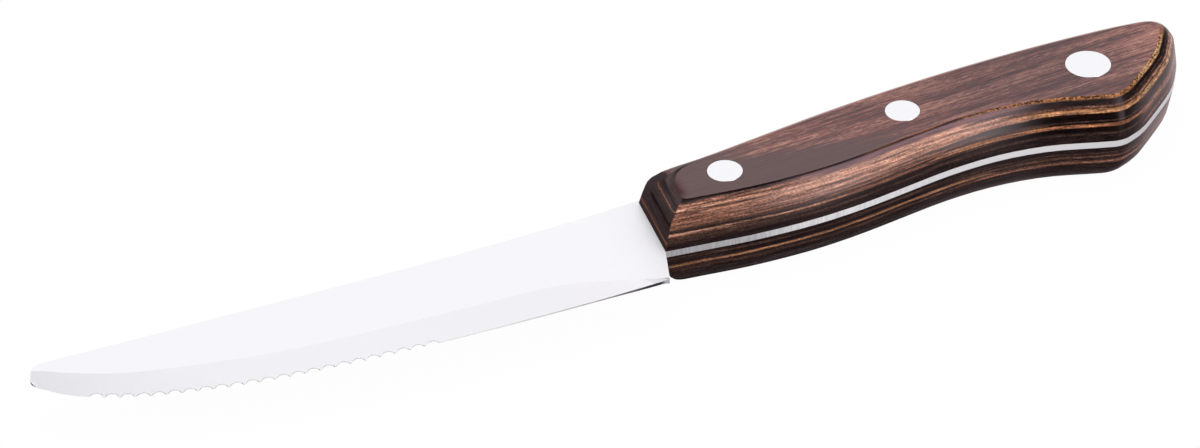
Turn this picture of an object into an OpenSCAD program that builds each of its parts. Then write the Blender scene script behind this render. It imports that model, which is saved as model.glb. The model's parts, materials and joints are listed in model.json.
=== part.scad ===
// Full-tang steak knife lying on its right side.
// The steel runs from the blunt tip to the butt in one piece, and two wooden
// scales are riveted to its tang with three pairs of large-headed cutlery rivets.
// The origin lies on the rest face, on the axis of the middle rivet.
// X runs from the tip to the butt, Y from the cutting edge to the spine.

/* [Handle] */
// Length of the handle from its front end to its butt
handle_len = 125; // [115:0.5:135]
// Depth of the handle from the top of its spine to its tail corner
handle_depth = 31; // [27:0.5:35]
// Distance from the middle rivet to the front end of the handle
grip_front = 58.7; // [55:0.1:62]
// Thickness of one wooden scale
scale_t = 9; // [6:0.25:11]
// How far the crowned bevel leans in along the belly
belly_bevel = 4.3; // [3:0.1:5]
// The same on the right scale, which is finished a little fuller there
right_belly_bevel = 3.2; // [2:0.1:5]
// How far it leans in along the spine
spine_bevel = 4.3; // [3:0.1:5]
// How far it leans in across the butt
butt_bevel = 4.1; // [3:0.1:5]
// How far it leans in at the front end, above the blade
front_bevel = 4.9; // [3:0.1:6]

// Rounding of the front low corner on the tang
front_low_round = 0.2; // [0.1:0.1:1]
// Rounding of the front low corner on the face
front_low_face_round = 1.6; // [0.5:0.1:3]
// Rounding of the tail corner on the tang
tail_round = 2; // [1:0.1:4]
// Rounding of the tail corner on the face
tail_face_round = 1.5; // [0.5:0.1:3]
// Rounding of the top of the butt on the tang
butt_top_round = 7; // [4:0.5:9]
// Rounding of the top of the butt on the face
butt_top_face_round = 4; // [2:0.5:6]
// Rounding of the front top corner on the tang
front_top_round = 1; // [0.5:0.1:4]
// Rounding of the front top corner on the face
front_top_face_round = 8; // [3:0.5:9]

/* [Blade] */
// Length of the blade from the front end of the handle to the tip
blade_len = 129.7; // [110:0.5:150]
// Depth of the blade from its spine line to its cutting edge
blade_depth = 26.4; // [24:0.2:30]
// Thickness of the steel, blade and tang alike
steel_t = 1.5; // [1.2:0.1:2.5]
// Thickness that the grind leaves along the edge
edge_t = 0.3; // [0.2:0.05:0.5]
// Thickness that it leaves at the heel, where it runs out
heel_edge_t = 0.85; // [0.5:0.05:1.2]
// Number of scallops in the serrated part
scallops = 23; // [10:1:24]
// Distance from one tooth to the next
tooth_pitch = 3.05; // [2.6:0.01:3.2]
// Width of a scallop, as a share of the distance between teeth
scallop_share = 0.86; // [0.6:0.02:1]
// Depth of a scallop between its two teeth
tooth_depth = 1; // [0.4:0.05:1.2]
// Angle that the scallops are ground at, from square to the blade
tooth_tilt = 30; // [0:5:45]

/* [Rivets] */
// Distance from the front rivet to the front end of the handle
front_rivet_set = 16.8; // [14:0.1:20]
// Distance from the rear rivet to the butt
rear_rivet_set = 23.7; // [21:0.1:27]
// Drop of the front rivet below the middle one
front_rivet_drop = 3.9; // [2.5:0.1:5]
// Drop of the rear rivet below the middle one
rear_rivet_drop = 1; // [0:0.1:2]
// Head diameter of the front and middle rivets
rivet_d = 7.3; // [6:0.1:9]
// Head diameter of the rear rivet
rear_rivet_d = 9.6; // [8:0.1:11]
// Thickness of a rivet head, sunk flush into the scale
head_t = 2.2; // [1.5:0.1:3]
// Outer diameter of the hollow barrel of the socket half
barrel_d = 4.8; // [4:0.1:5.4]
// Diameter of the solid shank of the pin half
shank_d = 3.2; // [2.4:0.1:3.4]

/* [Hidden] */
$fn = 48;

// Clearance around barrels and heads in their bores, on the diameter
bore_clear = 0.1;
// Clearance of the shank in the barrel, on the diameter
shank_clear = 0.04;
// Space left between a barrel's end and the other head
end_gap = 0.3;
// Overrun of every cut past the face it opens
cut_over = 1;

thickness = 2 * scale_t + steel_t;
mid_z = thickness / 2;

// Points put into each stretch of a smooth curve, into a rounded corner, along
// each side of the handle, and between two levels of its crowned section
curve_steps = 3;
corner_steps = 6;
side_steps = [28, 12, 22, 3];
crown_steps = 2;

// Outline of the handle on the tang, as shares of its length from the front
// end and of its depth above the middle rivet
belly_shares = [[-0.003, -0.418], [0.070, -0.451], [0.150, -0.486], [0.250, -0.498],
                [0.342, -0.474], [0.437, -0.420], [0.510, -0.378], [0.575, -0.362],
                [0.635, -0.371], [0.702, -0.416], [0.770, -0.505], [0.812, -0.556]];
butt_shares = [[0.851, -0.497], [0.881, -0.414], [0.941, -0.219],
               [0.965, -0.115], [0.988, 0.015], [1.006, 0.150]];
spine_shares = [[0.915, 0.406], [0.806, 0.422], [0.690, 0.421], [0.574, 0.403],
                [0.458, 0.368], [0.342, 0.318], [0.226, 0.252], [0.110, 0.187]];
// Corners that the outline turns round
tail_share = [0.812, -0.556];
butt_top_share = [1.015, 0.358];
front_top_share = [0.010, 0.162];

// Rounding of the corners, in the order front low, tail, butt top and front
// top, on the tang and on the outer face. A rounding takes at most its share
// of the shorter side that it joins.
corner_rounds = [front_low_round, tail_round, butt_top_round, front_top_round];
face_rounds = [front_low_face_round, tail_face_round, butt_top_face_round, front_top_face_round];
room_shares = [0.2, 0.45, 0.45, 0.75];

// Crowned section of a scale from the tang to the outer face: share of the
// bevel and share of the thickness. It runs on past both, and is cut off there.
crown_shares = [[-0.05, -0.16], [0.10, 0.32], [0.22, 0.62], [0.34, 0.735],
                [0.50, 0.84], [0.75, 0.935], [1.15, 1.039]];

// Blade, as shares of its length from the handle and of its depth below the
// top of the tang at the front: spine, then tip and edge, then grind line
dip_shares = [[0.120, 0.037], [0.262, 0.057], [0.396, 0.061], [0.527, 0.053],
              [0.656, 0.042], [0.785, 0.038], [0.880, 0.030]];
tip_shares = [[0.974, 0.019], [0.985, 0.034], [0.9925, 0.072], [0.997, 0.121],
              [1.000, 0.163], [0.9985, 0.212]];
edge_shares = [[0.989, 0.271], [0.976, 0.335], [0.961, 0.399], [0.940, 0.473],
               [0.889, 0.600], [0.843, 0.683], [0.796, 0.746], [0.750, 0.798],
               [0.681, 0.861], [0.611, 0.903], [0.519, 0.939], [0.426, 0.965],
               [0.338, 0.982], [0.210, 0.994], [0.103, 0.995], [0.050, 0.993],
               [0.023, 0.988]];
grind_shares = [[0.024, 0.984], [0.060, 0.925], [0.091, 0.864], [0.168, 0.750],
                [0.222, 0.716], [0.322, 0.700], [0.476, 0.670], [0.630, 0.617],
                [0.745, 0.523], [0.860, 0.390], [0.938, 0.222], [0.976, 0.114],
                [1.010, 0.040]];
// Part of a side over which its direction is measured
heading_share = 0.01;
// Where the first tooth stands, as a share of the blade's length measured along
// the edge, and the stretch over which the edge thickens towards the heel
first_tooth_share = 0.0756;
heel_run_share = 0.11;
// How far the ground face of the cut runs on past the grind line and the edge
lift_share = 0.002;
out_share = 0.4;

spine_front_y = front_top_share[1] * handle_depth;

// Curves
function smooth_point(a, b, c, d, t) =
    (2 * b + (c - a) * t + (2 * a - 5 * b + 4 * c - d) * t * t
     + (3 * b - a - 3 * c + d) * t * t * t) / 2;
function smooth(p, n) =
    [for (i = [0 : len(p) - 2], k = [0 : n - 1])
        smooth_point(p[max(i - 1, 0)], p[i], p[i + 1], p[min(i + 2, len(p) - 1)], k / n),
     p[len(p) - 1]];
function on_handle(share) =
    [share[0] * handle_len - grip_front, share[1] * handle_depth];
function on_blade(share) =
    [-grip_front - share[0] * blade_len, spine_front_y - share[1] * blade_depth];

function lengths(p, i = 0, sum = 0) =
    i == len(p) - 1 ? [sum]
    : concat([sum], lengths(p, i + 1, sum + norm(p[i + 1] - p[i])));

// The four sides of the outline, counter-clockwise: belly, butt, spine and
// front end, each a smooth curve from corner to corner
sides = [smooth([for (s = belly_shares) on_handle(s)], curve_steps),
         smooth([for (s = concat([tail_share], butt_shares, [butt_top_share])) on_handle(s)], curve_steps),
         smooth([for (s = concat([butt_top_share], spine_shares, [front_top_share])) on_handle(s)],
                curve_steps),
         [on_handle(front_top_share), on_handle(belly_shares[0])]];
bevels = [belly_bevel, butt_bevel, spine_bevel, front_bevel];
right_bevels = [right_belly_bevel, butt_bevel, spine_bevel, front_bevel];
side_runs = [for (p = sides) lengths(p)];
side_len = [for (r = side_runs) r[len(r) - 1]];
side_x = [for (j = [0 : 3]) [for (i = [0 : len(sides[j]) - 1]) [side_runs[j][i], sides[j][i][0]]]];
side_y = [for (j = [0 : 3]) [for (i = [0 : len(sides[j]) - 1]) [side_runs[j][i], sides[j][i][1]]]];

// Place and direction at a length along a side, and the inward direction
function at(j, run) = [lookup(run, side_x[j]), lookup(run, side_y[j])];
function along(a, b) = (b - a) / norm(b - a);
function heading(j, run) =
    let (step = side_len[j] * heading_share)
    along(at(j, run - step), at(j, run + step));
function inward(d) = [-d[1], d[0]];

// Corner where side j begins, and its shift when that side and the one before
// it both lean in
function corner(j) = sides[j % 4][0];
function corner_shift(j, lean) =
    let (old = (j + 3) % 4, new = j % 4,
         n1 = inward(heading(old, side_len[old])), n2 = inward(heading(new, 0)),
         d1 = lean[old], d2 = lean[new])
    [d1 * n2[1] - d2 * n1[1], d2 * n1[0] - d1 * n2[0]] / (n1[0] * n2[1] - n1[1] * n2[0]);

// Lengths along side j where its moved ends stand, and what is left between
function side_start(j, lean) = corner_shift(j, lean) * heading(j % 4, 0);
function side_end(j, lean) =
    side_len[j] + corner_shift(j + 1, lean) * heading(j, side_len[j]);
function side_room(j, lean) = side_end(j, lean) - side_start(j, lean);
function reach(j, share, lean) =
    min(corner_rounds[j % 4] + (face_rounds[j % 4] - corner_rounds[j % 4]) * share,
        room_shares[j % 4] * min(side_room(j % 4, lean), side_room((j + 3) % 4, lean)));

// Outline at one level of the crowned section: its share of the bevels, and
// how far each side leans in there
function side_points(j, share, lean) =
    let (first = side_start(j, lean) + reach(j, share, lean),
         last = side_end(j, lean) - reach(j + 1, share, lean))
    [for (k = [0 : side_steps[j]])
        let (run = first + (last - first) * k / side_steps[j])
        at(j, run) + inward(heading(j, run)) * lean[j]];
function corner_points(j, lean, p, q) =
    let (b = corner(j) + corner_shift(j, lean))
    [for (k = [1 : corner_steps - 1])
        let (t = k / corner_steps)
        p * (1 - t) * (1 - t) + 2 * b * t * (1 - t) + q * t * t];
function level(share, lean) =
    let (runs = [for (j = [0 : 3]) side_points(j, share, lean)])
    [for (j = [0 : 3])
        each concat(runs[j], corner_points(j + 1, lean, runs[j][side_steps[j]], runs[(j + 1) % 4][0]))];

// Loft of the crowned section round the outline
module crowned_loft(bevels) {
    rings = [for (s = smooth(crown_shares, crown_steps))
        [for (q = level(s[0], bevels * s[0])) [q[0], q[1], s[1] * scale_t]]];
    n = len(rings[0]);
    top = len(rings) - 1;
    polyhedron(
        points = [for (r = rings) each r],
        faces = concat(
            [for (k = [0 : top - 1], i = [0 : n - 1]) [k * n + i, (k + 1) * n + i, k * n + (i + 1) % n]],
            [for (k = [0 : top - 1], i = [0 : n - 1])
                [k * n + (i + 1) % n, (k + 1) * n + i, (k + 1) * n + (i + 1) % n]],
            [[for (i = [0 : n - 1]) i]],
            [[for (i = [n - 1 : -1 : 0]) top * n + i]]));
}

// One scale before drilling, lying on the tang's face at z = 0
module scale_blank(bevels) {
    intersection() {
        crowned_loft(bevels);
        linear_extrude(scale_t)
            square(2 * handle_len, center = true);
    }
}

// Rivet places: where each stands, and its head diameter
front_rivet = [front_rivet_set - grip_front, -front_rivet_drop];
middle_rivet = [0, 0];
rear_rivet = [handle_len - grip_front - rear_rivet_set, -rear_rivet_drop];
rivets = [[front_rivet, rivet_d], [middle_rivet, rivet_d], [rear_rivet, rear_rivet_d]];

// Bores through one scale, measured from the tang's face
module scale_bores() {
    for (r = rivets)
        translate([r[0][0], r[0][1], 0]) {
            translate([0, 0, -cut_over])
                cylinder(h = scale_t + 2 * cut_over, d = barrel_d + bore_clear);
            translate([0, 0, scale_t - head_t])
                cylinder(h = head_t + cut_over, d = r[1] + bore_clear);
        }
}

module left_scale() {
    color([0.36, 0.22, 0.19])
        translate([0, 0, mid_z + steel_t / 2])
            difference() {
                scale_blank(bevels);
                scale_bores();
            }
}

module right_scale() {
    color([0.36, 0.22, 0.19])
        translate([0, 0, mid_z - steel_t / 2])
            mirror([0, 0, 1])
                difference() {
                    scale_blank(right_bevels);
                    scale_bores();
                }
}

// Plan of the steel: blade and tang in one outline
blade_spine = smooth(concat([corner(3)], [for (s = dip_shares) on_blade(s)],
                            [on_blade(tip_shares[0])]), curve_steps);
tip = smooth([for (s = concat(tip_shares, [edge_shares[0]])) on_blade(s)], curve_steps);
edge = smooth([for (s = edge_shares) on_blade(s)], curve_steps);
tang_points = side_steps[0] + side_steps[1] + side_steps[2] + 2 * corner_steps + 1;
tang = [for (i = [0 : tang_points - 1]) level(0, 0 * bevels)[i]];
steel_outline = concat(
    [for (i = [0 : len(blade_spine) - 2]) blade_spine[i]],
    [for (i = [0 : len(tip) - 2]) tip[i]],
    edge,
    [corner(0)],
    tang);

// Half the thickness that the grind leaves at the edge
function half_edge(s) =
    let (run_out = max(0, 1 - (s - grind_shares[0][0]) / heel_run_share))
    (edge_t + (heel_edge_t - edge_t) * run_out) / 2;
function rising(p) = [for (i = [len(p) - 1 : -1 : 0]) p[i]];
grind_curve = smooth(grind_shares, curve_steps);
edge_curve = smooth(concat(rising(edge_shares), [[0.9985, 0.212], [1.010, 0.170]]), curve_steps);

// Space that one grinding pass takes off above the mid-plane at z = 0
module grind_cut() {
    sections = [for (p = grind_curve)
        let (upper = [on_blade(p)[1], steel_t / 2],
             lower = [on_blade([p[0], lookup(p[0], edge_curve)])[1], half_edge(p[0])],
             top = upper + (upper - lower) * lift_share,
             out = lower - (upper - lower) * out_share,
             x = on_blade(p)[0])
        [[x, top[0], top[1]], [x, out[0], out[1]],
         [x, out[0], steel_t + cut_over], [x, top[0], steel_t + cut_over]]];
    last = len(sections) - 1;
    polyhedron(
        points = [for (q = sections) each q],
        faces = concat(
            [[0, 1, 2, 3]],
            [[for (j = [3 : -1 : 0]) last * 4 + j]],
            [for (k = [0 : last - 1], j = [0 : 3])
                [k * 4 + j, (k + 1) * 4 + j, k * 4 + (j + 1) % 4]],
            [for (k = [0 : last - 1], j = [0 : 3])
                [k * 4 + (j + 1) % 4, (k + 1) * 4 + j, (k + 1) * 4 + (j + 1) % 4]]));
}

// Serrations: places of the teeth, stepped along the edge by its own length
run = lengths(edge);
run_x = [for (i = [0 : len(run) - 1]) [run[i], edge[i][0]]];
run_y = [for (i = [0 : len(run) - 1]) [run[i], edge[i][1]]];
first_tooth = first_tooth_share * blade_len;
function tooth(i) =
    [lookup(first_tooth + i * tooth_pitch, run_x), lookup(first_tooth + i * tooth_pitch, run_y)];
ground_depth = tooth_depth * cos(tooth_tilt);
scallop_w = scallop_share * tooth_pitch;
scallop_r = (scallop_w * scallop_w / 4 + ground_depth * ground_depth) / (2 * ground_depth);

// Round hollows ground from the right side, one between each pair of teeth
module serration() {
    for (i = [0 : scallops - 1]) {
        a = tooth(i);
        b = tooth(i + 1);
        translate([(a[0] + b[0]) / 2, (a[1] + b[1]) / 2, 0])
            rotate([0, 0, atan2(b[1] - a[1], b[0] - a[0])])
                rotate([tooth_tilt, 0, 0])
                    translate([0, ground_depth - scallop_r, 0])
                        cylinder(h = 4 * steel_t, r = scallop_r, center = true);
    }
}

module blade() {
    color([0.85, 0.86, 0.88])
        translate([0, 0, mid_z])
            difference() {
                translate([0, 0, -steel_t / 2])
                    linear_extrude(steel_t)
                        polygon(steel_outline);
                grind_cut();
                mirror([0, 0, 1]) grind_cut();
                serration();
                for (r = rivets)
                    translate([r[0][0], r[0][1], -steel_t])
                        cylinder(h = 2 * steel_t, d = barrel_d + bore_clear);
            }
}

// Socket half of a rivet: head in the right face, hollow barrel upwards
module rivet_socket(at, head_d) {
    color([0.88, 0.89, 0.91])
        translate([at[0], at[1], 0])
            difference() {
                union() {
                    cylinder(h = head_t, d = head_d);
                    cylinder(h = thickness - head_t - end_gap, d = barrel_d);
                }
                translate([0, 0, head_t])
                    cylinder(h = thickness, d = shank_d + shank_clear);
            }
}

// Pin half of a rivet: head in the left face, solid shank down the barrel
module rivet_pin(at, head_d) {
    color([0.88, 0.89, 0.91])
        translate([at[0], at[1], 0]) {
            translate([0, 0, thickness - head_t])
                cylinder(h = head_t, d = head_d);
            translate([0, 0, head_t + end_gap])
                cylinder(h = thickness - 2 * head_t, d = shank_d);
        }
}

module front_rivet_pin() { rivet_pin(front_rivet, rivet_d); }
module front_rivet_socket() { rivet_socket(front_rivet, rivet_d); }
module middle_rivet_pin() { rivet_pin(middle_rivet, rivet_d); }
module middle_rivet_socket() { rivet_socket(middle_rivet, rivet_d); }
module rear_rivet_pin() { rivet_pin(rear_rivet, rear_rivet_d); }
module rear_rivet_socket() { rivet_socket(rear_rivet, rear_rivet_d); }

blade();
left_scale();
right_scale();
front_rivet_pin();
front_rivet_socket();
middle_rivet_pin();
middle_rivet_socket();
rear_rivet_pin();
rear_rivet_socket();
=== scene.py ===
import json
import math

import bmesh
import bpy
from mathutils import Matrix, Vector

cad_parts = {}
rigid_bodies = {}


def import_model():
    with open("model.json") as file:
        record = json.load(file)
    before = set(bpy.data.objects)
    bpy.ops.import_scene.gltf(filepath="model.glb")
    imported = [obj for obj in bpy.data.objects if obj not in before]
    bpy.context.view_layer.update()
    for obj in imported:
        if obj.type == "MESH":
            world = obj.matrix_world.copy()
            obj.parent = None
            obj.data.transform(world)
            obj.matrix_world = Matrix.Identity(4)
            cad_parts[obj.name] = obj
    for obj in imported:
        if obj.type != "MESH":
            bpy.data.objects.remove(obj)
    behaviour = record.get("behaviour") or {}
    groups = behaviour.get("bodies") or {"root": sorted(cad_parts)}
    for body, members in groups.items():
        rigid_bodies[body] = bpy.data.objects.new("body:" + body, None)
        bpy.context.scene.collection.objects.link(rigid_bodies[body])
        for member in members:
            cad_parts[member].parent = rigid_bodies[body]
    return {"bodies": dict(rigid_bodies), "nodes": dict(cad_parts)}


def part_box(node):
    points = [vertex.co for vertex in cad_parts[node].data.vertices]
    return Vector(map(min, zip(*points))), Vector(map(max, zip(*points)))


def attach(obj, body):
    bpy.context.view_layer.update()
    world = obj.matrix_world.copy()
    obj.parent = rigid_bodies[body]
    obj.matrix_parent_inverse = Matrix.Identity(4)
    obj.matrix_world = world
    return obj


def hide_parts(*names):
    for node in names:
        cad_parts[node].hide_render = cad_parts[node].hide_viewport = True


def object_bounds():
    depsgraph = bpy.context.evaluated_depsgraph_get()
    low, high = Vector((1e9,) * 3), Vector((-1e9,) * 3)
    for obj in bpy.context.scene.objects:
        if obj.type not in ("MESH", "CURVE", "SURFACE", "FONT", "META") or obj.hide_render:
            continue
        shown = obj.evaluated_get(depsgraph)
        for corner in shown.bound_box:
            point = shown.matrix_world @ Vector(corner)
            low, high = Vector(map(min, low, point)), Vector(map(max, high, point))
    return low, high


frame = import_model()
cad_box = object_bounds()
body = next(iter(frame["bodies"]))
scene = bpy.context.scene
scene.view_settings.view_transform = "Standard"
MM = 0.001


# The viewpoint: low over the edge side, a little from the tip end, with the
# knife running up to the right and the horizon slightly tilted.
view_azimuth = math.radians(-22)
view_elevation = math.radians(37.237)
view_roll = math.radians(-1.382)
aim_point = Vector((-71.97, -9.96, 19.5)) * MM
view_distance = 890 * MM

back = Vector((math.sin(view_azimuth) * math.cos(view_elevation),
               -math.cos(view_azimuth) * math.cos(view_elevation),
               math.sin(view_elevation)))
level = Vector((math.cos(view_azimuth), math.sin(view_azimuth), 0))
upward = back.cross(level)
right = math.cos(view_roll) * level + math.sin(view_roll) * upward
up = back.cross(right)
lens = bpy.data.cameras.new("camera")
lens.lens = 133.5
lens.sensor_width = 36
lens.clip_end = 20
camera = bpy.data.objects.new("camera", lens)
camera.matrix_world = Matrix.Translation(aim_point + view_distance * back) @ Matrix(
    (right, up, back)).transposed().to_4x4()
scene.collection.objects.link(camera)
scene.camera = camera


# The studio: a white sweep behind and overhead, a dim room in front, two large
# lamps, and a tall rosy soft box that only shiny pieces mirror. The floor is
# white paper; shiny pieces see it as a rosy glow with painted shade, dimmer near
# the knife, and polished in front.
sweep_light = 1.0
room_light = 0.06
sweep_heading = (-0.9, 1, 0.3)
sweep_edge = 0.4
strip_light = 5.0
strip_tint = (1.0, 0.83, 0.875)
strip_across = ((0.1, 0.08), (0.25, 0.5), (0.4, 1.0), (0.5, 0.95), (0.6, 0.25), (0.68, 0.0))
strip_fade = 0.3
fill_light = 0.55
floor_size = 6.0
floor_drop = 0.05 * MM
floor_seen = 0.98
floor_paper_grey = (0.93, 0.93, 0.93, 1)
floor_mirrored = 0.85
floor_shade = 0.08
shade_heading = (0.5, 0.86, 0)
shade_from, shade_to = -14 * MM, 38 * MM
shade_tint = (1, 0.8, 0.83, 1)
polish_from, polish_to = -50 * MM, -70 * MM


def add_node(tree, kind, inputs=(), **settings):
    """One node with its settings, and its inputs either linked or set"""
    node = tree.nodes.new(kind)
    for key, value in settings.items():
        setattr(node, key, value)
    for key, value in dict(inputs).items():
        if isinstance(value, bpy.types.NodeSocket):
            tree.links.new(value, node.inputs[key])
        else:
            node.inputs[key].default_value = value
    return node


def math_node(tree, operation, *values):
    """The result of one calculation on sockets or numbers"""
    return add_node(tree, "ShaderNodeMath", dict(enumerate(values)), operation=operation).outputs[0]


def product(tree, first, *others):
    """Sockets or numbers multiplied in turn"""
    for factor in others:
        first = math_node(tree, "MULTIPLY", first, factor)
    return first


def total(tree, first, *others):
    """Sockets or numbers added in turn"""
    for term in others:
        first = math_node(tree, "ADD", first, term)
    return first


def eased(tree, value, start, end, low=0.0, high=1.0):
    """Smooth change from low to high as the value goes from start to end"""
    return add_node(tree, "ShaderNodeMapRange", {0: value, 1: start, 2: end, 3: low, 4: high},
                    interpolation_type="SMOOTHSTEP").outputs[0]


def soft_box(tree, direction):
    """A tall soft box to the front right, fading to the left: it glazes the crown
    of the handle where that turns towards it and draws a line at the tail"""
    towards = add_node(tree, "ShaderNodeSeparateXYZ", {0: direction})
    sideways = add_node(tree, "ShaderNodeFloatCurve", {"Value": towards.outputs["X"]})
    points = sideways.mapping.curves[0].points
    points[0].location, points[1].location = (0.0, 0.0), (1.0, 0.0)
    for at, bright in strip_across:
        points.new(at, bright)
    sideways.mapping.extend = "HORIZONTAL"
    sideways.mapping.update()
    ahead = eased(tree, towards.outputs["Y"], strip_fade, 0.0, 0.0, strip_light)
    return product(tree, math_node(tree, "MAXIMUM", sideways.outputs[0], 0.0), ahead)


world = bpy.data.worlds.new("studio")
scene.world = world
world.use_nodes = True
tree = world.node_tree
tree.nodes.clear()
direction = add_node(tree, "ShaderNodeTexCoord").outputs["Generated"]
path = add_node(tree, "ShaderNodeLightPath").outputs
height = add_node(tree, "ShaderNodeVectorMath", {0: direction, 1: sweep_heading}, operation="DOT_PRODUCT")
sweep = eased(tree, height.outputs["Value"], -sweep_edge, sweep_edge, room_light, sweep_light)
shiny = math_node(tree, "MAXIMUM", path["Is Glossy Ray"], path["Is Transmission Ray"])
plain = total(tree, path["Is Camera Ray"], product(tree, shiny, sweep),
              product(tree, path["Is Diffuse Ray"], fill_light))
rosy = add_node(tree, "ShaderNodeVectorMath",
                {0: strip_tint, "Scale": product(tree, shiny, soft_box(tree, direction))}, operation="SCALE")
colour = add_node(tree, "ShaderNodeVectorMath", {0: rosy.outputs[0], 1: plain}, operation="ADD")
glow = add_node(tree, "ShaderNodeBackground", {"Color": colour.outputs[0], "Strength": 1.0})
add_node(tree, "ShaderNodeOutputWorld", {"Surface": glow.outputs[0]})

floor_mesh = bpy.data.meshes.new("floor")
h = floor_size / 2
floor_corners = [(x, y, -floor_drop) for x, y in ((-h, -h), (h, -h), (h, h), (-h, h))]
floor_mesh.from_pydata(floor_corners, [], [(0, 1, 2, 3)])
floor = bpy.data.objects.new("floor", floor_mesh)
scene.collection.objects.link(floor)
floor_paper = bpy.data.materials.new("floor_paper")
floor_paper.use_nodes = True
tree = floor_paper.node_tree
tree.nodes.clear()
path = add_node(tree, "ShaderNodeLightPath").outputs
spot = add_node(tree, "ShaderNodeNewGeometry").outputs["Position"]
matt = add_node(tree, "ShaderNodeBsdfDiffuse", {"Color": floor_paper_grey})
white = add_node(tree, "ShaderNodeEmission", {"Color": (1, 1, 1, 1), "Strength": 1.0})
seen = add_node(tree, "ShaderNodeMixShader", {0: product(tree, path["Is Camera Ray"], floor_seen),
                                              1: matt.outputs[0], 2: white.outputs[0]})
# Painted shade in what shiny pieces see: the floor glows rosy, dim near and in front of the knife and
# brighter behind it
spread = add_node(tree, "ShaderNodeVectorMath", {0: spot, 1: shade_heading}, operation="DOT_PRODUCT")
lit = add_node(tree, "ShaderNodeMapRange",
               {0: spread.outputs["Value"], 1: shade_from, 2: shade_to, 3: floor_shade, 4: floor_mirrored})
shaded = add_node(tree, "ShaderNodeEmission", {"Color": shade_tint, "Strength": lit.outputs[0]})
split = add_node(tree, "ShaderNodeSeparateXYZ", {0: spot}).outputs
in_front = eased(tree, split["Y"], polish_from, polish_to)
gleam = add_node(tree, "ShaderNodeBsdfGlossy", {"Color": (1, 1, 1, 1), "Roughness": 0.0})
polished = add_node(tree, "ShaderNodeMixShader", {0: in_front, 2: gleam.outputs[0]})
mirrored = add_node(tree, "ShaderNodeAddShader", {0: shaded.outputs[0], 1: polished.outputs[0]})
shown = add_node(tree, "ShaderNodeMixShader",
                 {0: path["Is Glossy Ray"], 1: seen.outputs[0], 2: mirrored.outputs[0]})
add_node(tree, "ShaderNodeOutputMaterial", {"Surface": shown.outputs[0]})
floor_mesh.materials.append(floor_paper)

# Each lamp's place from the middle of the knife and its size, both in metres
middle = (cad_box[0] + cad_box[1]) / 2
for name, place, size, watts in (("overhead_box", (0.05, 0.25, 1.1), 0.9, 7.0),
                                 ("front_box", (-0.35, -0.9, 0.8), 0.6, 3.0)):
    lamp = bpy.data.lights.new(name, "AREA")
    lamp.size = size
    lamp.energy = watts
    box = bpy.data.objects.new(name, lamp)
    box.location = middle + Vector(place)
    box.rotation_mode = "QUATERNION"
    box.rotation_quaternion = (middle - box.location).to_track_quat("-Z", "Y")
    box.visible_glossy = False
    scene.collection.objects.link(box)


# The blade and tang: one blank stamped from stainless sheet, ground on both
# faces from a line along its middle down to the edge, scalloped from one side
# and polished. The two wooden scales leave the tang's rim bare.
steel_low, steel_high = (corner.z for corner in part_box("blade"))
steel_half = (steel_high - steel_low) / 2
steel_mid = (steel_high + steel_low) / 2
flat_margin = 0.004 * MM
blade_tip = -189 * MM
blade_run = 130 * MM
tang_front = -58.7 * MM
tang_run = 126 * MM
weld_distance = 0.002 * MM
scratch_depth = 0.01 * MM
# The sharpest edge that is still shaded smooth, in degrees
blade_crease = 1.5
# Which way a face looks, by one part of its normal: flat or upright, under the
# edge, at the blunt tip, at the heel's end, and on the run-out of the grind
upright_tilt = 0.5
under_tilt = -0.4
tip_tilt = -0.8
heel_tilt = 0.4
run_out_tilts = (0.985, 0.95)
# Stretches along the blade and the tang, as shares of their runs
blunt_share = 0.02
rim_share = -0.004
faint_shares = (0.05, 0.7)
beside_shares = (-0.22, -0.02)
beside_depth = 0.7

POLISHED = (0.922, 0.924, 0.955, 1)
HAIRLINE = (0.885, 0.887, 0.93, 1)
CLOUDED = (0.76, 0.755, 0.785, 1)
BLUNT_TIP = (0.5, 0.49, 0.51, 1)
HEEL_END = (0.66, 0.65, 0.68, 1)
RUN_OUT = (0.76, 0.75, 0.78, 1)
DARKER = (0.1, 0.1, 0.1, 1)
# Colours along the ground bevel and along the edge's own narrow face, as shares
# of the way from the tip to the handle; the edge face's near-black stretch before
# the heel is painted shade
bevel_tints = [(0.0, (0.74, 0.735, 0.765)), (0.08, (0.81, 0.805, 0.835)), (0.22, (0.865, 0.86, 0.895)),
               (0.5, (0.875, 0.872, 0.91)), (1.0, (0.855, 0.852, 0.89))]
edge_tints_and_shade = [(0.66, (0.99, 0.98, 1.0)), (0.80, (0.66, 0.64, 0.67)), (0.91, (0.17, 0.155, 0.175)),
              (0.942, (0.035, 0.032, 0.04)), (0.966, (0.03, 0.028, 0.034)), (0.973, (0.5, 0.49, 0.52))]
# Colours along the tang's bare rim, from the front of the handle to the butt
rim_tints = [(0.0, (0.46, 0.45, 0.48)), (0.14, (0.52, 0.51, 0.54)), (0.23, (0.84, 0.83, 0.85)),
             (0.31, (0.90, 0.89, 0.91)), (0.5, (0.86, 0.85, 0.87)), (0.7, (0.83, 0.82, 0.84)),
             (0.85, (0.68, 0.67, 0.69)), (1.0, (0.86, 0.85, 0.88))]


def smooth_up_to(shape, crease):
    """Smooth shading on a shape, except across edges sharper than the crease in degrees"""
    for face in shape.faces:
        face.smooth = True
    for edge in shape.edges:
        edge.smooth = len(edge.link_faces) == 2 and edge.calc_face_angle(0) < math.radians(crease)


def finished_copy(node, name, crease):
    """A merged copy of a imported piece, smooth except across edges sharper than the crease"""
    mesh = frame["nodes"][node].data.copy()
    mesh.name = name
    mesh.materials.clear()
    shape = bmesh.new()
    shape.from_mesh(mesh)
    bmesh.ops.remove_doubles(shape, verts=shape.verts, dist=weld_distance)
    smooth_up_to(shape, crease)
    shape.to_mesh(mesh)
    shape.free()
    piece = bpy.data.objects.new(name, mesh)
    scene.collection.objects.link(piece)
    return piece


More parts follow.
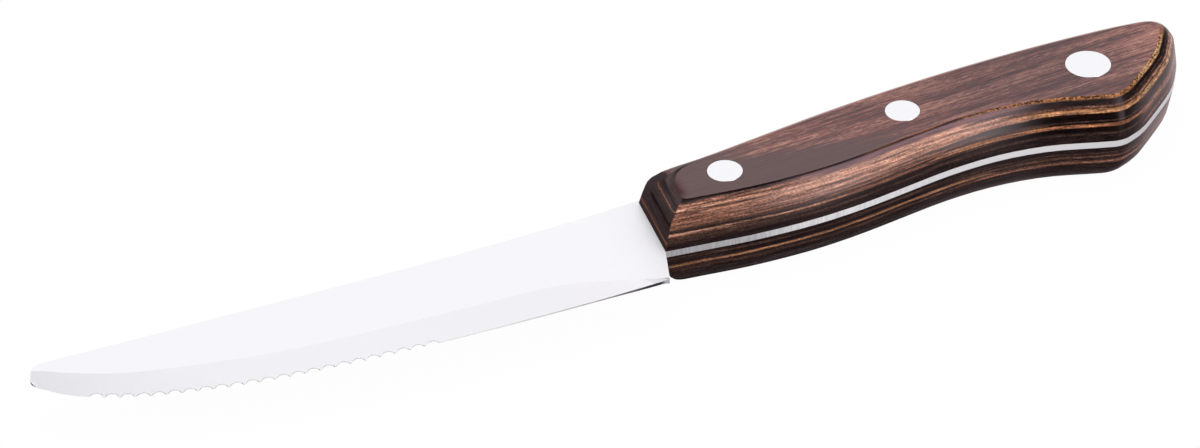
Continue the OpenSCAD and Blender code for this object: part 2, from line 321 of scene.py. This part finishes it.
def new_material(name):
    """An empty material with one Principled shader; returns material, tree and shader"""
    made = bpy.data.materials.new(name)
    made.use_nodes = True
    tree = made.node_tree
    tree.nodes.clear()
    shader = add_node(tree, "ShaderNodeBsdfPrincipled")
    add_node(tree, "ShaderNodeOutputMaterial", {"Surface": shader.outputs[0]})
    return made, tree, shader


def stretched_noise(tree, vector, stretch, turn=0.0, detail=3.0, roughness=0.6):
    """Noise drawn out along axes that are turned in plan, by one factor for each"""
    turned = add_node(tree, "ShaderNodeVectorRotate", {"Vector": vector, "Angle": -turn},
                      rotation_type="Z_AXIS")
    mapped = add_node(tree, "ShaderNodeMapping", {"Vector": turned.outputs[0], "Scale": stretch})
    noise = add_node(tree, "ShaderNodeTexNoise",
                     {"Vector": mapped.outputs[0], "Scale": 1.0, "Detail": detail, "Roughness": roughness})
    return noise.outputs["Fac"]


def ramp(tree, factor, stops):
    """A colour ramp with the given stops, each a place and a colour or a grey"""
    node = add_node(tree, "ShaderNodeValToRGB", {"Fac": factor})
    points = node.color_ramp.elements
    while len(points) > 1:
        points.remove(points[0])
    points[0].position = stops[0][0]
    for place, _ in stops[1:]:
        points.new(place)
    for point, (_, colour) in zip(points, stops):
        point.color = (colour, colour, colour, 1) if isinstance(colour, float) else (*colour, 1)
    return node.outputs["Color"]


def mixed(tree, factor, a, b, blend="MIX"):
    """Two colours mixed by a factor"""
    node = add_node(tree, "ShaderNodeMix", {0: factor, 6: a, 7: b}, data_type="RGBA", blend_type=blend)
    return node.outputs[2]


def multiplied(tree, a, b):
    """Two colours multiplied"""
    return mixed(tree, 1.0, a, b, "MULTIPLY")


def share_along(tree, value, start, run):
    """How far a place lies from a start, as a share of a run"""
    return math_node(tree, "DIVIDE", math_node(tree, "SUBTRACT", value, start), run)


steel, tree, shader = new_material("polished_steel")
place = add_node(tree, "ShaderNodeTexCoord").outputs["Object"]
split = add_node(tree, "ShaderNodeSeparateXYZ", {0: place}).outputs
normal = add_node(tree, "ShaderNodeNewGeometry").outputs["True Normal"]
facing = add_node(tree, "ShaderNodeSeparateXYZ", {0: normal}).outputs
hairs = stretched_noise(tree, place, (90, 2600, 0), turn=math.radians(-52))
cloud = stretched_noise(tree, place, (70, 160, 0), detail=2)
brush = stretched_noise(tree, place, (5200, 900, 260))
along = share_along(tree, split["X"], blade_tip, blade_run)
back_along = share_along(tree, split["X"], tang_front, tang_run)

# The polished flat, and the ground bevel, clouded and greyer towards the tip
flat = mixed(tree, product(tree, hairs, 0.25), POLISHED, HAIRLINE)
clouded = ramp(tree, along, [(0.0, 0.6), (0.35, 0.12)])
bevel = mixed(tree, product(tree, cloud, clouded), ramp(tree, along, bevel_tints), CLOUDED)
off_mid = math_node(tree, "ABSOLUTE", math_node(tree, "SUBTRACT", split["Z"], steel_mid))
ground = math_node(tree, "LESS_THAN", off_mid, steel_half - flat_margin)
tint = mixed(tree, ground, flat, bevel)

# The edge's own narrow face, with painted shade near the heel, and dark at the
# blunt tip and the heel's end
tilt = math_node(tree, "ABSOLUTE", facing["Z"])
upright = math_node(tree, "LESS_THAN", tilt, upright_tilt)
lying = math_node(tree, "SUBTRACT", 1.0, upright)
downward = product(tree, upright, math_node(tree, "LESS_THAN", facing["Y"], under_tilt))
tint = mixed(tree, downward, tint, ramp(tree, along, edge_tints_and_shade))
blunt_tip = product(tree, math_node(tree, "LESS_THAN", facing["X"], tip_tilt), upright,
                    math_node(tree, "LESS_THAN", along, blunt_share))
tint = mixed(tree, blunt_tip, tint, BLUNT_TIP)
heel = product(tree, upright, math_node(tree, "GREATER_THAN", facing["X"], heel_tilt))
tint = mixed(tree, heel, tint, HEEL_END)

# The tang's rim, brushed across in front, and the run-out of the grind
rim = product(tree, upright, math_node(tree, "GREATER_THAN", back_along, rim_share))
brushed = ramp(tree, brush, [(0.32, 0.72), (0.5, 0.96), (0.66, 1.12)])
faint = mixed(tree, eased(tree, back_along, *faint_shares), brushed, (1, 1, 1, 1))
tint = mixed(tree, rim, tint, multiplied(tree, ramp(tree, back_along, rim_tints), faint))
steep = product(tree, lying, eased(tree, tilt, *run_out_tilts))
tint = mixed(tree, steep, tint, RUN_OUT)

# The blade beside the handle, where the wood shades it
beside = product(tree, lying, eased(tree, back_along, *beside_shares), beside_depth)
shade = ramp(tree, ground, [(0.0, 0.10), (1.0, 0.24)])
tint = mixed(tree, product(tree, beside, shade), tint, DARKER)
tree.links.new(tint, shader.inputs["Base Color"])
dull = heel
for part in (rim, downward, steep, beside):
    dull = math_node(tree, "MAXIMUM", dull, part)
tree.links.new(ramp(tree, dull, [(0.0, 0.96), (1.0, 0.15)]), shader.inputs["Metallic"])
tree.links.new(ramp(tree, dull, [(0.0, 0.29), (1.0, 0.6)]), shader.inputs["Roughness"])
scratch = add_node(tree, "ShaderNodeBump", {"Height": hairs, "Strength": 0.02, "Distance": scratch_depth})
tree.links.new(scratch.outputs[0], shader.inputs["Normal"])

blade = finished_copy("blade", "blade_polished", blade_crease)
blade.data.materials.append(steel)
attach(blade, body)
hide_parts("blade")


# The two scales: hard resin-filled laminate of thin dyed veneers, cut so that
# the veneers lie flat against the tang, then crowned, which lays their edges
# open as stripes. A polished resin skin seals them.
scale_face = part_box("left_scale")[1].z
scale_mm = 9.0
scale_crease = 22
pore_depth = 0.02 * MM
# Dyes of the veneers
BLACK = (0.006, 0.002, 0.002)
SOOT = (0.020, 0.010, 0.010)
SMOKE = (0.046, 0.031, 0.032)
HAZE = (0.088, 0.060, 0.061)
COFFEE = (0.060, 0.030, 0.023)
BROWN = (0.15, 0.068, 0.046)
RUSSET = (0.25, 0.108, 0.070)
TAN = (0.46, 0.234, 0.160)
DUST = (0.36, 0.168, 0.110)
WINE = (0.085, 0.030, 0.036)
PLUM = (0.066, 0.030, 0.032)
RUST = (0.24, 0.095, 0.042)
AMBER = (0.43, 0.200, 0.098)
ORANGE = (0.38, 0.140, 0.070)
GOLD = (0.46, 0.25, 0.125)
GILT = (0.34, 0.142, 0.060)
THREAD = (0.48, 0.26, 0.19)
FLECK = (0.040, 0.020, 0.022)

# Veneers under the left face, from the face down: depth in millimetres and
# colour, at the front of the handle, in its middle, behind that and at its rear
fore_veneers = [(0.00, BLACK), (0.27, BLACK), (0.42, COFFEE), (0.62, RUSSET), (0.75, DUST), (0.90, BROWN),
                (1.05, RUSSET), (1.20, TAN), (1.35, TAN), (1.50, BROWN), (1.68, RUSSET), (2.0, DUST),
                (2.5, RUSSET), (2.7, BROWN), (3.0, RUSSET), (3.3, RUSSET), (3.6, BROWN), (3.9, BROWN),
                (4.2, RUSSET), (4.5, BROWN), (4.8, COFFEE), (5.1, SOOT), (5.4, COFFEE), (5.6, TAN),
                (5.85, TAN), (6.1, BROWN), (6.4, COFFEE), (6.9, COFFEE), (8.0, SOOT), (9.0, SOOT)]
middle_veneers = [(0.00, BLACK), (0.16, BLACK), (0.3, WINE), (0.68, WINE), (0.88, RUSSET), (1.0, TAN),
                  (1.32, TAN), (1.5, RUSSET), (1.7, TAN), (2.15, TAN), (2.45, RUSSET), (2.7, RUSSET),
                  (2.95, TAN), (3.15, TAN), (3.35, RUSSET), (3.6, BROWN), (3.9, RUSSET), (4.25, BROWN),
                  (4.5, BROWN), (4.8, RUSSET), (5.0, COFFEE), (5.35, COFFEE), (5.55, RUSSET), (5.8, RUSSET),
                  (6.1, COFFEE), (6.3, SOOT), (7.0, SOOT), (7.4, COFFEE), (7.8, SOOT), (9.0, SOOT)]
later_veneers = [(0.00, RUST), (0.28, RUST), (0.38, PLUM), (0.7, PLUM), (0.95, SOOT), (1.1, COFFEE),
                 (1.25, BROWN), (1.4, TAN), (1.6, TAN), (1.75, BROWN), (1.9, RUSSET), (2.02, TAN), (2.5, TAN),
                 (2.72, BROWN), (2.9, SOOT), (3.9, SOOT), (4.2, COFFEE), (4.6, COFFEE), (4.8, RUSSET),
                 (4.95, TAN), (5.2, AMBER), (5.45, AMBER), (5.65, COFFEE), (5.9, SOOT), (6.15, BLACK),
                 (6.6, SOOT), (7.2, COFFEE), (7.7, SOOT), (9.0, SOOT)]
aft_veneers = [(0.00, GILT), (0.38, GILT), (0.48, BLACK), (1.1, SOOT), (1.25, COFFEE), (1.4, BROWN),
               (1.6, COFFEE), (1.78, RUST), (1.98, AMBER), (2.42, AMBER), (2.6, BLACK), (3.9, BLACK),
               (4.1, COFFEE), (4.4, BLACK), (4.6, BLACK), (4.78, RUST), (4.95, ORANGE), (5.2, ORANGE),
               (5.4, RUST), (5.55, BLACK), (6.3, BLACK), (6.7, SOOT), (6.85, COFFEE), (7.1, COFFEE),
               (7.3, SOOT), (7.6, SOOT), (9.0, SOOT)]
butt_veneers = [(0.00, GOLD), (0.36, GOLD), (0.5, BLACK), (0.8, BLACK), (0.92, COFFEE), (1.15, BLACK),
                (1.4, BROWN), (1.55, TAN), (1.75, COFFEE), (1.95, RUSSET), (2.1, GOLD), (2.55, GOLD),
                (2.75, BROWN), (2.95, COFFEE), (3.15, SOOT), (4.3, SOOT), (4.6, COFFEE), (4.85, BROWN),
                (5.2, RUST), (5.45, RUSSET), (5.75, RUSSET), (6.1, BROWN), (6.4, COFFEE), (6.8, SOOT),
                (7.4, SOOT), (7.7, BROWN), (8.1, BROWN), (8.4, SOOT), (9.0, SOOT)]
# The right scale, from the tang down, in front and at the rear
lower_veneers = [(0.0, SOOT), (0.5, SOOT), (0.85, COFFEE), (1.2, COFFEE), (1.5, SOOT), (2.35, SOOT),
                 (2.6, BROWN), (2.8, AMBER), (3.0, AMBER), (3.2, BROWN), (3.4, SOOT), (4.1, COFFEE),
                 (4.45, COFFEE), (4.8, SOOT), (7.0, SMOKE), (9.0, SMOKE)]
lower_aft_veneers = [(0.0, SOOT), (1.1, SOOT), (1.4, COFFEE), (1.75, SOOT), (2.1, COFFEE), (2.35, BROWN),
                     (2.6, COFFEE), (2.9, SOOT), (3.35, COFFEE), (3.65, RUSSET), (3.95, RUSSET),
                     (4.2, COFFEE), (4.45, SOOT), (9.0, SOOT)]
# The cut across the veneers at the front end, from the face down, and the same
# towards the spine, where it is plainer
end_veneers = [(0.0, HAZE), (0.3, HAZE), (0.7, SMOKE), (1.3, SMOKE), (1.42, RUSSET), (1.56, SMOKE),
               (2.7, SMOKE), (3.1, SOOT), (3.6, SOOT), (4.0, SMOKE), (6.8, SMOKE), (7.2, BROWN), (7.5, BROWN),
               (7.9, SMOKE), (9.0, SMOKE)]
upper_end_veneers = [(0.0, HAZE), (0.3, HAZE), (0.7, SMOKE), (6.8, SMOKE), (7.2, BROWN), (7.5, BROWN),
                     (7.9, SMOKE), (9.0, SMOKE)]
# Where one set of veneers gives way to the next, and by how much that wanders
middle_starts = (-34 * MM, -16 * MM)
later_starts = (-2 * MM, 16 * MM)
aft_starts = (18 * MM, 26 * MM)
butt_starts = (42 * MM, 48 * MM)
patch_shift = 90 * MM
slant = 0.3
# How far the veneers wave, and fray where they are loosely laid
wave_height = 0.4 * MM
fray_height = 0.7 * MM

wood, tree, shader = new_material("dyed_laminate")
place = add_node(tree, "ShaderNodeTexCoord").outputs["Object"]
split = add_node(tree, "ShaderNodeSeparateXYZ", {0: place})
x, y, z = (split.outputs[i] for i in range(3))
normal = add_node(tree, "ShaderNodeNewGeometry").outputs["Normal"]
facing = add_node(tree, "ShaderNodeSeparateXYZ", {0: normal}).outputs
patch = math_node(tree, "SUBTRACT", stretched_noise(tree, place, (50, 200, 900)), 0.5)
shifted = total(tree, x, product(tree, patch, patch_shift))
slanted = total(tree, x, product(tree, y, slant))
middle_on = eased(tree, shifted, *middle_starts)
later_on = eased(tree, shifted, *later_starts)
aft_on = eased(tree, shifted, *aft_starts)
butt_on = eased(tree, slanted, *butt_starts)
looseness = math_node(tree, "SUBTRACT", 1.0, product(tree, middle_on, 0.65))
drift = math_node(tree, "SUBTRACT", stretched_noise(tree, place, (28, 60, 0), detail=2), 0.5)
fray = stretched_noise(tree, place, (420, 600, 2400), detail=5, roughness=0.8)
fray = math_node(tree, "SUBTRACT", fray, 0.5)
wavy_z = total(tree, z, product(tree, drift, wave_height), product(tree, fray, looseness, fray_height))


def veneers(start, stops):
    """The stripe of veneers met at this depth below a start height"""
    depth = math_node(tree, "DIVIDE", math_node(tree, "SUBTRACT", start, wavy_z), scale_mm * MM)
    return ramp(tree, depth, [(d / scale_mm, colour) for d, colour in stops])


edges = mixed(tree, middle_on, veneers(scale_face, fore_veneers), veneers(scale_face, middle_veneers))
edges = mixed(tree, later_on, edges, veneers(scale_face, later_veneers))
edges = mixed(tree, aft_on, edges, veneers(scale_face, aft_veneers))
edges = mixed(tree, butt_on, edges, veneers(scale_face, butt_veneers))
below = mixed(tree, later_on, veneers(steel_low, lower_veneers), veneers(steel_low, lower_aft_veneers))
edges = mixed(tree, math_node(tree, "LESS_THAN", z, steel_mid), edges, below)

# Fibres and grain in the cut edges, calmer where the middle is glazed, and gaps
# in the stripes in front
calm_depths = (1.1 * MM, 0.7 * MM)
fibre = stretched_noise(tree, place, (46, 900, 2900), detail=6, roughness=0.78)
fibre_tone = ramp(tree, fibre, [(0.36, 0.18), (0.44, 0.6), (0.52, 1.08), (0.62, 2.0)])
grain = stretched_noise(tree, place, (2000, 2300, 3600), roughness=0.7)
grain_tone = ramp(tree, grain, [(0.35, 0.45), (0.65, 1.55)])
softer = product(tree, math_node(tree, "SUBTRACT", middle_on, later_on), 0.25)
grain_tone = mixed(tree, softer, grain_tone, (1, 1, 1, 1))
calm = product(tree, math_node(tree, "SUBTRACT", middle_on, aft_on),
               eased(tree, z, scale_face - calm_depths[0], scale_face - calm_depths[1]), 0.8)
grain_tone = mixed(tree, calm, grain_tone, (1, 1, 1, 1))
edges = multiplied(tree, multiplied(tree, edges, fibre_tone), grain_tone)
broken = stretched_noise(tree, place, (70, 90, 1700), detail=4)
gaps = product(tree, eased(tree, broken, 0.53, 0.64), looseness, 0.8)
edges = mixed(tree, gaps, edges, (*SOOT, 1))

# The front end, cut across the veneers
end_upper = (-1.5 * MM, 0.5 * MM)
end_depth = 12 * MM
end_tilts = (-0.18, -0.34)
corner_x = (tang_front + 8 * MM, tang_front + 5.5 * MM)
corner_y = (-9 * MM, -7 * MM)
end_grain = stretched_noise(tree, place, (300, 90, 2600), detail=4, roughness=0.7)
end_tone = ramp(tree, end_grain, [(0.38, 0.55), (0.62, 1.3)])
ends = multiplied(tree, veneers(scale_face, end_veneers), end_tone)
ends = mixed(tree, eased(tree, y, *end_upper), ends, veneers(scale_face, upper_end_veneers))
corner = product(tree, eased(tree, x, *corner_x), eased(tree, y, *corner_y))
forward = product(tree, eased(tree, facing["X"], *end_tilts),
                  math_node(tree, "LESS_THAN", x, tang_front + end_depth))
at_end = math_node(tree, "MAXIMUM", forward, corner)
edges = mixed(tree, at_end, edges, ends)

# The mottled line just under the face along the belly and the butt, and a plain
# russet line along the spine that is a painted highlight on the spine edge
ridge_depths = (0.40 * MM, 0.28 * MM)
ridge_starts = (6 * MM, 16 * MM)
ridge_run = 60 * MM
spine_highlight_depths = (0.7 * MM, 0.4 * MM)
spine_highlight_heights = (1 * MM, 4 * MM)
mottle = ramp(tree, stretched_noise(tree, place, (1500, 1900, 2600), roughness=0.7),
              [(0.43, 0.12), (0.5, 0.75), (0.58, 1.6)])
ridge_tint = ramp(tree, math_node(tree, "DIVIDE", slanted, ridge_run),
                  [(0.1, RUST), (0.32, RUST), (0.5, GILT), (0.72, GILT), (0.85, GOLD)])
ridge = product(tree, eased(tree, z, scale_face - ridge_depths[0], scale_face - ridge_depths[1]),
                eased(tree, x, *ridge_starts))
edges = mixed(tree, ridge, edges, multiplied(tree, ridge_tint, mottle))
# Painted highlight: a russet line just under the face towards the spine edge
rim = product(tree, eased(tree, y, *spine_highlight_heights),
              eased(tree, z, scale_face - spine_highlight_depths[0], scale_face - spine_highlight_depths[1]),
              math_node(tree, "SUBTRACT", 1.0, at_end))
edges = mixed(tree, rim, edges, (*RUSSET, 1))

# The face itself: the top veneer, streaked along the handle, with pale threads
# and dark flecks
face_turn = math.radians(4)
thread_turn = math.radians(5)
face_run = 80 * MM
streak = stretched_noise(tree, place, (48, 1900, 0), turn=face_turn, detail=7, roughness=0.82)
broad = stretched_noise(tree, place, (22, 260, 0), turn=face_turn, detail=2)
flecks = stretched_noise(tree, place, (150, 2900, 0), turn=face_turn)
fine = stretched_noise(tree, place, (240, 5200, 0), turn=face_turn, detail=4, roughness=0.8)
threads = stretched_noise(tree, place, (420, 4200, 0), turn=thread_turn, roughness=0.75)
streaks = total(tree, product(tree, streak, 0.42), product(tree, fine, 0.38), product(tree, broad, 0.2))
top = ramp(tree, streaks, [(0.445, (0.046, 0.020, 0.022)), (0.475, (0.088, 0.032, 0.034)),
                           (0.50, (0.148, 0.048, 0.047)), (0.53, (0.21, 0.078, 0.066)),
                           (0.565, (0.38, 0.175, 0.130))])
scattered = product(tree, eased(tree, threads, 0.53, 0.62), eased(tree, broad, 0.42, 0.58), 0.8)
top = mixed(tree, scattered, top, (*THREAD, 1))
top = mixed(tree, product(tree, eased(tree, flecks, 0.58, 0.68), 0.8), top, (*FLECK, 1))
rear_tone = ramp(tree, math_node(tree, "DIVIDE", x, face_run),
                 [(0.0, 1.0), (0.2, (0.76, 0.76, 0.80)), (0.5, (0.74, 0.75, 0.82)),
                  (0.75, (1.14, 1.12, 1.12))])
top = multiplied(tree, top, rear_tone)

# Its front is plain umber, up to a ragged line that falls towards the middle,
# with painted shade darkening it towards soot near the front end
ragged_reach = 20 * MM
streaks_fall = 0.15
streaks_low = (-8 * MM, -5 * MM)
upper_starts = (-44 * MM, -27 * MM)
behind_starts = (-10 * MM, 3 * MM)
front_painted_shade = (tang_front + 7.2 * MM, tang_front + 4.4 * MM)
face_margin = 0.02 * MM
ragged = product(tree, math_node(tree, "SUBTRACT", streak, 0.5), ragged_reach)
ragged_x = total(tree, x, product(tree, ragged, 3))
height_above = total(tree, y, product(tree, x, streaks_fall), ragged)
upper = product(tree, eased(tree, height_above, *streaks_low), eased(tree, ragged_x, *upper_starts))
behind = eased(tree, ragged_x, *behind_starts)
front = ramp(tree, streak, [(0.35, (0.078, 0.038, 0.040)), (0.65, (0.104, 0.052, 0.053))])
# Painted shade: the face darkens towards soot near the front end
front = mixed(tree, product(tree, eased(tree, x, *front_painted_shade), 0.6), front, (*SOOT, 1))
top = mixed(tree, math_node(tree, "MAXIMUM", upper, behind), front, top)
off_steel = math_node(tree, "ABSOLUTE", math_node(tree, "SUBTRACT", z, steel_mid))
on_face = math_node(tree, "GREATER_THAN", off_steel, scale_face - steel_mid - face_margin)
tree.links.new(mixed(tree, on_face, edges, top), shader.inputs["Base Color"])

# The resin skin: glossier on the crown from the middle back, matt at the ridge,
# behind the middle and on the front end
glossy_starts = (-48 * MM, -22 * MM)
glossy_depths = (0.16 * MM, 0.4 * MM)
face_gloss_starts = (tang_front + 3.6 * MM, tang_front + 6.4 * MM)
matt_starts = (22 * MM, 29 * MM)
off_ridge = eased(tree, z, scale_face - glossy_depths[0], scale_face - glossy_depths[1])
matt_part = math_node(tree, "SUBTRACT", eased(tree, x, *matt_starts), eased(tree, x, *butt_starts))
crown_gloss = product(tree, ramp(tree, eased(tree, shifted, *glossy_starts), [(0.0, 0.12), (1.0, 0.38)]),
                      total(tree, product(tree, off_ridge, 0.85), 0.15),
                      ramp(tree, matt_part, [(0.0, 1.0), (1.0, 0.35)]))
face_gloss = product(tree, eased(tree, x, *face_gloss_starts), 0.42)
gloss = mixed(tree, at_end, mixed(tree, on_face, crown_gloss, face_gloss), (0.0, 0.0, 0.0, 1))
shader.inputs["Roughness"].default_value = 0.24
shader.inputs["Specular IOR Level"].default_value = 0.4
tree.links.new(gloss, shader.inputs["Specular IOR Level"])
pores = add_node(tree, "ShaderNodeBump", {"Height": fibre, "Strength": 0.05, "Distance": pore_depth})
tree.links.new(pores.outputs[0], shader.inputs["Normal"])

for node in ("left_scale", "right_scale"):
    scale = finished_copy(node, node + "_polished", scale_crease)
    scale.data.materials.append(wood)
    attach(scale, body)
    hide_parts(node)


# The rivets: three pairs of cutlery rivets, a solid half pressed into a hollow
# one, with flat heads let in flush and finished with the face.
head_thickness = 2.2 * MM
barrel_width = 4.8 * MM
shank_width = 3.2 * MM
shank_room = 0.04 * MM
edge_break = 0.03 * MM
round_steps = 96
rivet_crease = 30
seam_distance = 0.001 * MM

rivet_steel, tree, shader = new_material("rivet_metal")
place = add_node(tree, "ShaderNodeTexCoord").outputs["Object"]
hairs = stretched_noise(tree, place, (110, 3000, 0), turn=math.radians(20))
rubbed = ramp(tree, hairs, [(0.28, (0.87, 0.87, 0.90)), (0.36, (0.925, 0.925, 0.955)),
                            (0.7, (0.935, 0.935, 0.965))])
tree.links.new(rubbed, shader.inputs["Base Color"])
shader.inputs["Roughness"].default_value = 0.24
shader.inputs["Metallic"].default_value = 1.0

# One rivet half as a turned profile of nine points, revolved about its axis
turned = bpy.data.node_groups.new("turned_rivet", "GeometryNodeTree")
for title in ("Head Diameter", "Edge Break", "Head Face", "Head Back", "Shaft Diameter", "Shaft End",
              "Bore Diameter", "Bore End"):
    turned.interface.new_socket(title, in_out="INPUT", socket_type="NodeSocketFloat")
turned.interface.new_socket("Segments", in_out="INPUT", socket_type="NodeSocketInt")
turned.interface.new_socket("Axis", in_out="INPUT", socket_type="NodeSocketVector")
turned.interface.new_socket("Material", in_out="INPUT", socket_type="NodeSocketMaterial")
turned.interface.new_socket("Geometry", in_out="OUTPUT", socket_type="NodeSocketGeometry")
given = add_node(turned, "NodeGroupInput").outputs
rows = total(turned, given["Segments"], 1)
profile_points = 9
sheet = add_node(turned, "GeometryNodeMeshGrid", {"Vertices X": profile_points, "Vertices Y": rows})
index = add_node(turned, "GeometryNodeInputIndex").outputs[0]
station = math_node(turned, "FLOOR", math_node(turned, "DIVIDE", total(turned, index, 0.5), rows))
step = math_node(turned, "SUBTRACT", index, product(turned, station, rows))
angle = product(turned, step, math_node(turned, "DIVIDE", 2 * math.pi, given["Segments"]))
head, shaft, bore = (math_node(turned, "DIVIDE", given[title], 2)
                     for title in ("Head Diameter", "Shaft Diameter", "Bore Diameter"))
inward = math_node(turned, "SIGN", math_node(turned, "SUBTRACT", given["Head Back"], given["Head Face"]))
under_break = total(turned, given["Head Face"], product(turned, inward, given["Edge Break"]))
inside_break = math_node(turned, "SUBTRACT", head, given["Edge Break"])
profile = ((0.0, given["Head Face"]), (inside_break, given["Head Face"]), (head, under_break),
           (head, given["Head Back"]), (shaft, given["Head Back"]), (shaft, given["Shaft End"]),
           (bore, given["Shaft End"]), (bore, given["Bore End"]), (0.0, given["Bore End"]))
choices = []
for column in (0, 1):
    switch = add_node(turned, "GeometryNodeIndexSwitch", data_type="FLOAT")
    while len(switch.index_switch_items) < profile_points:
        switch.index_switch_items.new()
    turned.links.new(station, switch.inputs["Index"])
    for i, point in enumerate(profile):
        if isinstance(point[column], float):
            switch.inputs[str(i)].default_value = point[column]
        else:
            turned.links.new(point[column], switch.inputs[str(i)])
    choices.append(switch.outputs[0])
radius, rise = choices
ring = add_node(turned, "ShaderNodeCombineXYZ", {
    0: product(turned, radius, math_node(turned, "COSINE", angle)),
    1: product(turned, radius, math_node(turned, "SINE", angle)), 2: rise})
spot = add_node(turned, "ShaderNodeVectorMath", {0: ring.outputs[0], 1: given["Axis"]}, operation="ADD")
bent = add_node(turned, "GeometryNodeSetPosition",
                {"Geometry": sheet.outputs[0], "Position": spot.outputs[0]})
closed = add_node(turned, "GeometryNodeMergeByDistance",
                  {"Geometry": bent.outputs[0], "Distance": seam_distance})
real = add_node(turned, "GeometryNodeRealizeInstances", {"Geometry": closed.outputs[0]})
coated = add_node(turned, "GeometryNodeSetMaterial",
                  {"Geometry": real.outputs[0], "Material": given["Material"]})
add_node(turned, "NodeGroupOutput", {"Geometry": coated.outputs[0]})

for node in [name for name in frame["nodes"] if "_rivet_" in name]:
    low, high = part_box(node)
    seed = bpy.data.objects.new(node + "_seed", bpy.data.meshes.new(node + "_seed"))
    scene.collection.objects.link(seed)
    build = seed.modifiers.new("turned", "NODES")
    build.node_group = turned
    if node.endswith("pin"):
        sizes = {"Head Face": high.z, "Head Back": high.z - head_thickness, "Shaft Diameter": shank_width,
                 "Shaft End": low.z, "Bore Diameter": 0.0, "Bore End": low.z}
    else:
        sizes = {"Head Face": low.z, "Head Back": low.z + head_thickness, "Shaft Diameter": barrel_width,
                 "Shaft End": high.z, "Bore Diameter": shank_width + shank_room,
                 "Bore End": low.z + head_thickness}
    sizes.update({"Head Diameter": high.x - low.x, "Edge Break": edge_break, "Segments": round_steps,
                  "Material": rivet_steel, "Axis": ((low.x + high.x) / 2, (low.y + high.y) / 2, 0.0)})
    for socket in turned.interface.items_tree:
        if socket.name in sizes:
            build[socket.identifier] = sizes[socket.name]
    seed.update_tag()
    held = bpy.context.evaluated_depsgraph_get()
    mesh = bpy.data.meshes.new_from_object(seed.evaluated_get(held))
    bpy.data.objects.remove(seed)
    mesh.name = node + "_turned"
    shape = bmesh.new()
    shape.from_mesh(mesh)
    bmesh.ops.recalc_face_normals(shape, faces=shape.faces)
    smooth_up_to(shape, rivet_crease)
    shape.to_mesh(mesh)
    shape.free()
    rivet = bpy.data.objects.new(node + "_turned", mesh)
    scene.collection.objects.link(rivet)
    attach(rivet, body)
    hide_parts(node)
